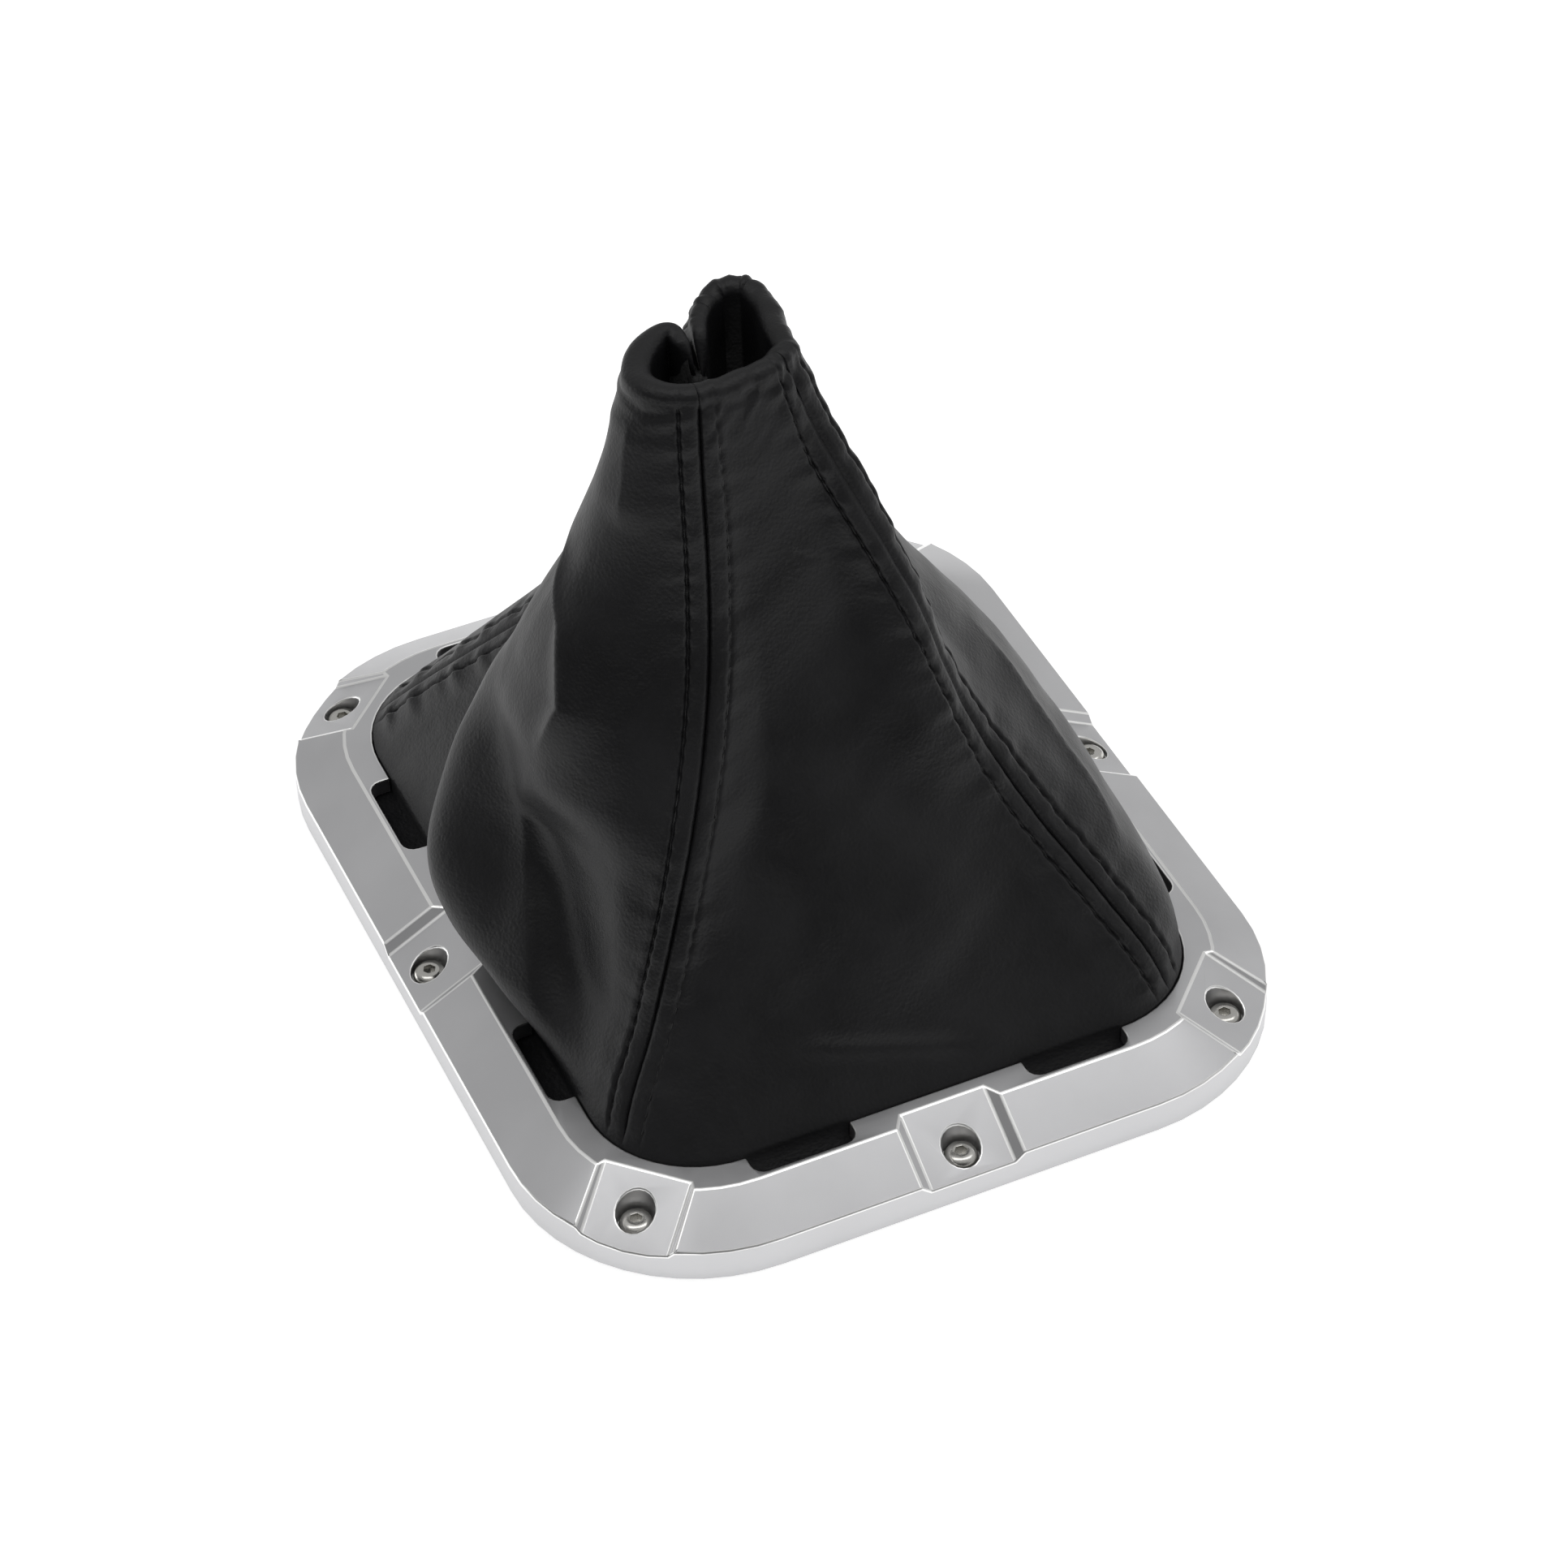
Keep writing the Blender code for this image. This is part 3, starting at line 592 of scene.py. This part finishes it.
def seam_relief(distance, reach, height, number, end, pull):
    """Height of the leather beside a seam: rolled edge, padded strip, row of stitches, then puckers."""
    scaled = distance / reach
    seam = SEAMS[(number + end) % 4]
    rise_length = height * SEAM_LENGTH
    seed = 1.0 + number + end
    below, above = SEAM_OPENING[seam]
    opened = below + (above - below) * ease(height, 0.36, 0.48)
    turn = 2 * np.pi * rise_length / STITCH_PITCH
    edge = -EDGE_DEPTH * opened * np.exp(-(scaled / (0.00028 + 0.00006 * math.sin(turn))) ** 2)
    strip = STRIP_RISE * ease(scaled, 0.0001, 0.0013) * (1 - ease(scaled, 0.0042, 0.0085))
    drawn = 0.80 + 0.20 * math.cos(turn)
    beside = scaled - ROW_DISTANCE - 0.00012 * math.sin(turn)
    row = -ROW_DEPTH * pull * drawn * np.exp(-(beside / 0.00042) ** 2)
    waves = waviness(rise_length / PUCKER_PITCH, seed)
    pucker = PUCKER_RISE * SEAM_PUCKERS[seam] * waves * ease(scaled, 0.0008, 0.003)
    pucker = pucker * (1 - ease(scaled, 0.005, 0.013))
    return edge + strip + row + pucker


def soft_swells(point):
    """Broad, faint unevenness of the hide as it hangs."""
    x, y, z = point[:, 0], point[:, 1], point[:, 2]
    broad = np.sin(x / 0.0062 + 1.3 * np.sin(z / 0.011)) * np.sin(z / 0.0085 + y / 0.013 + 0.8)
    fine = np.sin(x / 0.0031 - z / 0.0052 + 2.0) * np.sin(z / 0.0041 + y / 0.0060)
    return UNEVENNESS * (broad + 0.35 * fine)


def collar_relief(place, below):
    """Turned hem: a soft roll at the rim, an uneven crease under it and small crumples."""
    uneven = 0.6 + 0.4 * waviness(place * 3.1, 1.7)
    level = 0.0016 + 0.0009 * waviness(place * 2.2, 0.4)
    crease = -0.0007 * uneven * np.exp(-((below - level) / 0.0010) ** 2)
    crumple = 0.00032 * waviness(place * 4.7 + below / 0.006, 2.6) * np.exp(-(below / 0.009) ** 2)
    return crease + crumple


def hem_fullness(place):
    """One where the hem is a full roll, and less where it is pressed."""
    at, wide, lost = HEM_PRESS
    return 1 - lost * bump(round_distance(place, at), wide)


def panel_grid(name):
    """Rows of points of one panel, from the flange's edge over the hem to the end of its inner leaf."""
    number = PANELS.index(name)
    fine = np.linspace(number - 0.5, number + 0.5, 401)
    heights = np.linspace(0, 1, WALL_ROWS + 1)
    turns = np.linspace(0, math.pi, CURL_ROWS + 1)[1:]
    drops = np.linspace(0, HEM_DEPTH, LEAF_ROWS + 1)[1:]
    seam_steps = np.array(SEAM_COLUMNS) / 1000
    first_pull, last_pull = STITCH_PULL[name]
    grid = []
    stitches = {0: [], 1: []}
    for height in heights:
        round_once = wall_point(WALK, np.full_like(WALK, height))
        quarter = np.linalg.norm(np.diff(round_once, axis=0), axis=1).sum() / 4
        base = wall_point(fine, np.full_like(fine, height))
        arc = np.concatenate([[0], np.cumsum(np.linalg.norm(np.diff(base, axis=0), axis=1))])
        total = arc[-1]
        reach = min(1.0, 0.40 * total / seam_steps[-1])
        near = seam_steps * reach
        between = np.linspace(near[-1], total - near[-1], PANEL_COLUMNS[name] + 1)[1:-1]
        distances = np.concatenate([near, between, total - near[::-1]])
        place = np.interp(distances, arc, fine)
        level = np.full_like(place, height)
        point = wall_point(place, level)
        outward = wall_outward(place, level)
        lift = seam_relief(distances, reach, height, number, 0, first_pull)
        lift += seam_relief(total - distances, reach, height, number, 1, last_pull)
        lift *= 1 - 0.65 * ease(height, 0.985, 0.999)
        lift += crease_relief(place, height, quarter)
        lift += soft_swells(point) * ease(height, 0.05, 0.2) * (1 - ease(height, 0.85, 0.97))
        lift *= ease(height, 0.0, 0.03)
        lift += collar_relief(place, (1 - height) * (BOOT_HEIGHT - BOOT_START))
        row = point + outward * lift[..., None]
        grid.append(row)
        for side, column in ((0, STITCH_COLUMN), (1, len(distances) - 1 - STITCH_COLUMN)):
            stitches[side].append((row[column], outward[column]))
    rim_place, rim = place, row
    foot_row = grid[0]
    flange_edge = np.column_stack([nearest_line(FLANGE_LINE, foot_row), np.full(len(foot_row), FLANGE_TOP)])
    corner = foot_row.copy()
    corner[:, 2] = FLANGE_TOP
    rows = [flange_edge, corner] + grid
    inner = np.column_stack([along_line(INNER_LINE, rim_place), rim[:, 2]])
    pressed = hem_fullness(rim_place)[:, None]
    dents = HEM_DENTS * waviness(rim_place * 3.3, 3.0)[:, None]
    up = np.array([0, 0, 1.0])
    for turn in turns:
        rise = (HEM_RISE * pressed + dents) * math.sin(turn)
        rows.append(rim + (inner - rim) * (1 - math.cos(turn)) / 2 + up * rise)
    for drop in drops:
        rows.append(inner - up * drop)
    return np.array(rows), stitches


def hem_line():
    """Line round the mouth on which the turned hem's inner leaf hangs, smoothed to lie without crossing."""
    rim = wall_point(WALK, np.ones_like(WALK))[:, :2][:-1]
    ahead = np.roll(rim, -10, axis=0) - np.roll(rim, 10, axis=0)
    inward = unit(np.stack([-ahead[:, 1], ahead[:, 0]], axis=-1))
    inner = rim + inward * (2 * HEM_ROLL * hem_fullness(WALK[:-1]))[:, None]
    for reach in (16, 9, 5):
        for _ in range(3):
            inner = sum(np.roll(inner, step, axis=0) for step in (-reach, 0, reach)) / 3
    return np.vstack([inner, inner[:1]])


INNER_LINE = hem_line()


def nearest_line(line, points):
    """For each point, the place on a line round the ring that lies straight outwards of it."""
    nearest = [np.argmin(np.linalg.norm(FOOT_LINE - point[:2], axis=1)) for point in points]
    return line[nearest]


def leather_panel(name, leather, suede):
    rows, stitches = panel_grid(name)
    count, columns = rows.shape[:2]
    bm = bmesh.new()
    bmesh.ops.create_grid(bm, x_segments=columns - 1, y_segments=count - 1, size=0.5)
    for vert in bm.verts:
        column = round((vert.co.x + 0.5) * (columns - 1))
        row = round((vert.co.y + 0.5) * (count - 1))
        vert.co = rows[row, column]
    bmesh.ops.recalc_face_normals(bm, faces=bm.faces)
    face = bm.faces[:][len(bm.faces) // 2]
    if face.normal.xy.dot(face.calc_center_median().xy) < 0:
        bmesh.ops.reverse_faces(bm, faces=bm.faces)
    panel = new_piece("leather_" + name, bm, [leather, suede], ["boot_panel_" + name])
    wall = panel.modifiers.new("hide_thickness", "SOLIDIFY")
    wall.thickness = LEATHER
    wall.offset = -1
    wall.material_offset = 1
    wall.use_even_offset = False
    return stitches


def spot_along(values, arc, distance):
    """Value at a distance along a line whose points lie at the distances in arc."""
    return Vector([np.interp(distance, arc, values[:, axis]) for axis in range(3)])


def stitch_row(name, samples, thread):
    """Row of short thread pieces pulled into the leather along a seam."""
    points = np.array([point for point, _ in samples])
    outward = np.array([direction for _, direction in samples])
    arc = np.concatenate([[0], np.cumsum(np.linalg.norm(np.diff(points, axis=0), axis=1))])
    bm = bmesh.new()
    count = int((arc[-1] - STITCH_MARGIN) / STITCH_PITCH)
    for number in range(count):
        middle = STITCH_START + (number + 0.5) * STITCH_PITCH
        centre = spot_along(points, arc, middle)
        along = (spot_along(points, arc, middle + 0.001) - centre).normalized()
        side = spot_along(outward, arc, middle).normalized().cross(along).normalized()
        turn = Matrix((side, along, side.cross(along))).transposed().to_4x4()
        made = bmesh.ops.create_uvsphere(bm, u_segments=8, v_segments=6, radius=1.0)["verts"]
        for vert in made:
            x, y, z = vert.co
            height = y * THREAD_RADIUS - STITCH_ARCH * z * z + THREAD_RISE
            vert.co = (x * THREAD_RADIUS, z * STITCH_LENGTH / 2, height)
        bmesh.ops.transform(bm, matrix=Matrix.Translation(centre) @ turn, verts=made)
    bmesh.ops.recalc_face_normals(bm, faces=bm.faces)
    return new_piece(name, bm, [thread], [])


def seen_ray(tree):
    """One for rays that show the backdrop: straight, mirrored or through glass."""
    rays = tree.nodes.new("ShaderNodeLightPath")
    value = rays.outputs["Is Camera Ray"]
    for kind in ("Is Glossy Ray", "Is Transmission Ray"):
        larger = add_node(tree, "Math", operation="MAXIMUM")
        tree.links.new(value, larger.inputs[0])
        tree.links.new(rays.outputs[kind], larger.inputs[1])
        value = larger.outputs[0]
    return value


def pale_floor():
    """Floor that is seen a little brighter than it lights the part."""
    bm = bmesh.new()
    bmesh.ops.create_grid(bm, x_segments=1, y_segments=1, size=FLOOR_HALF)
    mesh = bpy.data.meshes.new("pale_floor")
    bm.to_mesh(mesh)
    bm.free()
    floor = bpy.data.objects.new("pale_floor", mesh)
    bpy.context.scene.collection.objects.link(floor)
    material, tree, shader = new_finish("pale_floor", 0.9)
    shader.inputs["Base Color"].default_value = (0.86, 0.86, 0.86, 1)
    shader.inputs["Specular IOR Level"].default_value = 0.0
    glow = add_node(tree, "Math", operation="MULTIPLY")
    glow.inputs[1].default_value = FLOOR_GLOW
    tree.links.new(seen_ray(tree), glow.inputs[0])
    shader.inputs["Emission Color"].default_value = (1, 1, 1, 1)
    tree.links.new(glow.outputs[0], shader.inputs["Emission Strength"])
    mesh.materials.append(material)


def product(tree, first, second):
    node = add_node(tree, "Math", operation="MULTIPLY")
    tree.links.new(first, node.inputs[0])
    tree.links.new(second, node.inputs[1])
    return node.outputs[0]


def soft_studio():
    """Light all round, stronger from above and dimmer low down and from the front left."""
    world = bpy.data.worlds.new("soft_studio")
    bpy.context.scene.world = world
    world.use_nodes = True
    tree = world.node_tree
    background = tree.nodes["Background"]
    background.inputs["Color"].default_value = (1, 1, 1, 1)
    where = tree.nodes.new("ShaderNodeTexCoord").outputs["Generated"]
    split = tree.nodes.new("ShaderNodeSeparateXYZ")
    tree.links.new(where, split.inputs[0])
    front_left = add_node(tree, "VectorMath", operation="DOT_PRODUCT")
    front_left.inputs[1].default_value = (-0.72, -0.69, 0)
    tree.links.new(where, front_left.inputs[0])
    front = spread(tree, front_left.outputs["Value"], 0, 1, -0.05, 0.66)
    low = spread(tree, split.outputs["Z"], 1, 0, 0.45, 0.90)
    all_round = spread(tree, product(tree, front, low), 0.52, 0.06, 0, 1)
    by_height = spread(tree, split.outputs["Z"], 0.60, 1, 0, 0.45)
    tree.links.new(product(tree, all_round, by_height), background.inputs["Strength"])

    for name, (place, size, power) in SOFTBOXES.items():
        light = bpy.data.lights.new(name, "AREA")
        light.shape = "RECTANGLE"
        light.size, light.size_y = size
        light.energy = power
        lamp = bpy.data.objects.new(name, light)
        lamp.location = place
        toward = Vector(SOFTBOX_TARGET) - Vector(place)
        lamp.rotation_euler = toward.to_track_quat("-Z", "Y").to_euler()
        bpy.context.scene.collection.objects.link(lamp)


def photo_camera():
    azimuth, elevation = math.radians(CAMERA_AZIMUTH), math.radians(CAMERA_ELEVATION)
    roll = math.radians(CAMERA_ROLL)
    ground = math.cos(elevation)
    back = Vector((math.sin(azimuth) * ground, -math.cos(azimuth) * ground, math.sin(elevation)))
    level = (-back).cross(Vector((0, 0, 1))).normalized()
    above = level.cross(-back)
    right = level * math.cos(roll) + above * math.sin(roll)
    up = above * math.cos(roll) - level * math.sin(roll)
    camera = bpy.data.cameras.new("photo_camera")
    camera.sensor_width = 36
    camera.lens = CAMERA_LENS
    camera.clip_end = 50
    view = bpy.data.objects.new("photo_camera", camera)
    turn = Matrix((right, up, back)).transposed().to_4x4()
    view.matrix_world = Matrix.Translation(CAMERA_PLACE) @ turn
    bpy.context.scene.collection.objects.link(view)
    bpy.context.scene.camera = view


aluminium = satin_metal("satin_machined_aluminium", (0.59, 0.59, 0.60), (0.63, 0.63, 0.64), 0.38)
# Paler, glossier metal for the broken edges: a painted highlight, not the aluminium's own colour
painted_highlight_metal = satin_metal("painted_edge_highlight", (0.93, 0.93, 0.92), (0.96, 0.96, 0.95), 0.30)
stainless = satin_metal("bright_stainless_steel", (0.50, 0.49, 0.46), (0.66, 0.65, 0.62), 0.20, 3000)
zinc = satin_metal("zinc_plated_steel", (0.40, 0.40, 0.42), (0.52, 0.52, 0.54), 0.38, 2500)
leather = grained_leather()
suede = suede_back()
thread = twisted_thread()

photo_camera()
pale_floor()
soft_studio()
machined_ring(aluminium, painted_highlight_metal)
for node_name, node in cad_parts.items():
    if node_name.startswith("screw_"):
        button_screw(node_name, stainless)
    if node_name.startswith("retain"):
        node.data.materials.clear()
        node.data.materials.append(zinc)
for panel_name in PANELS:
    rows_beside = leather_panel(panel_name, leather, suede)
    for side, samples in rows_beside.items():
        stitch_row(f"stitches_{panel_name}_{side + 1}", samples, thread)

bpy.context.scene.view_settings.view_transform = "Standard"
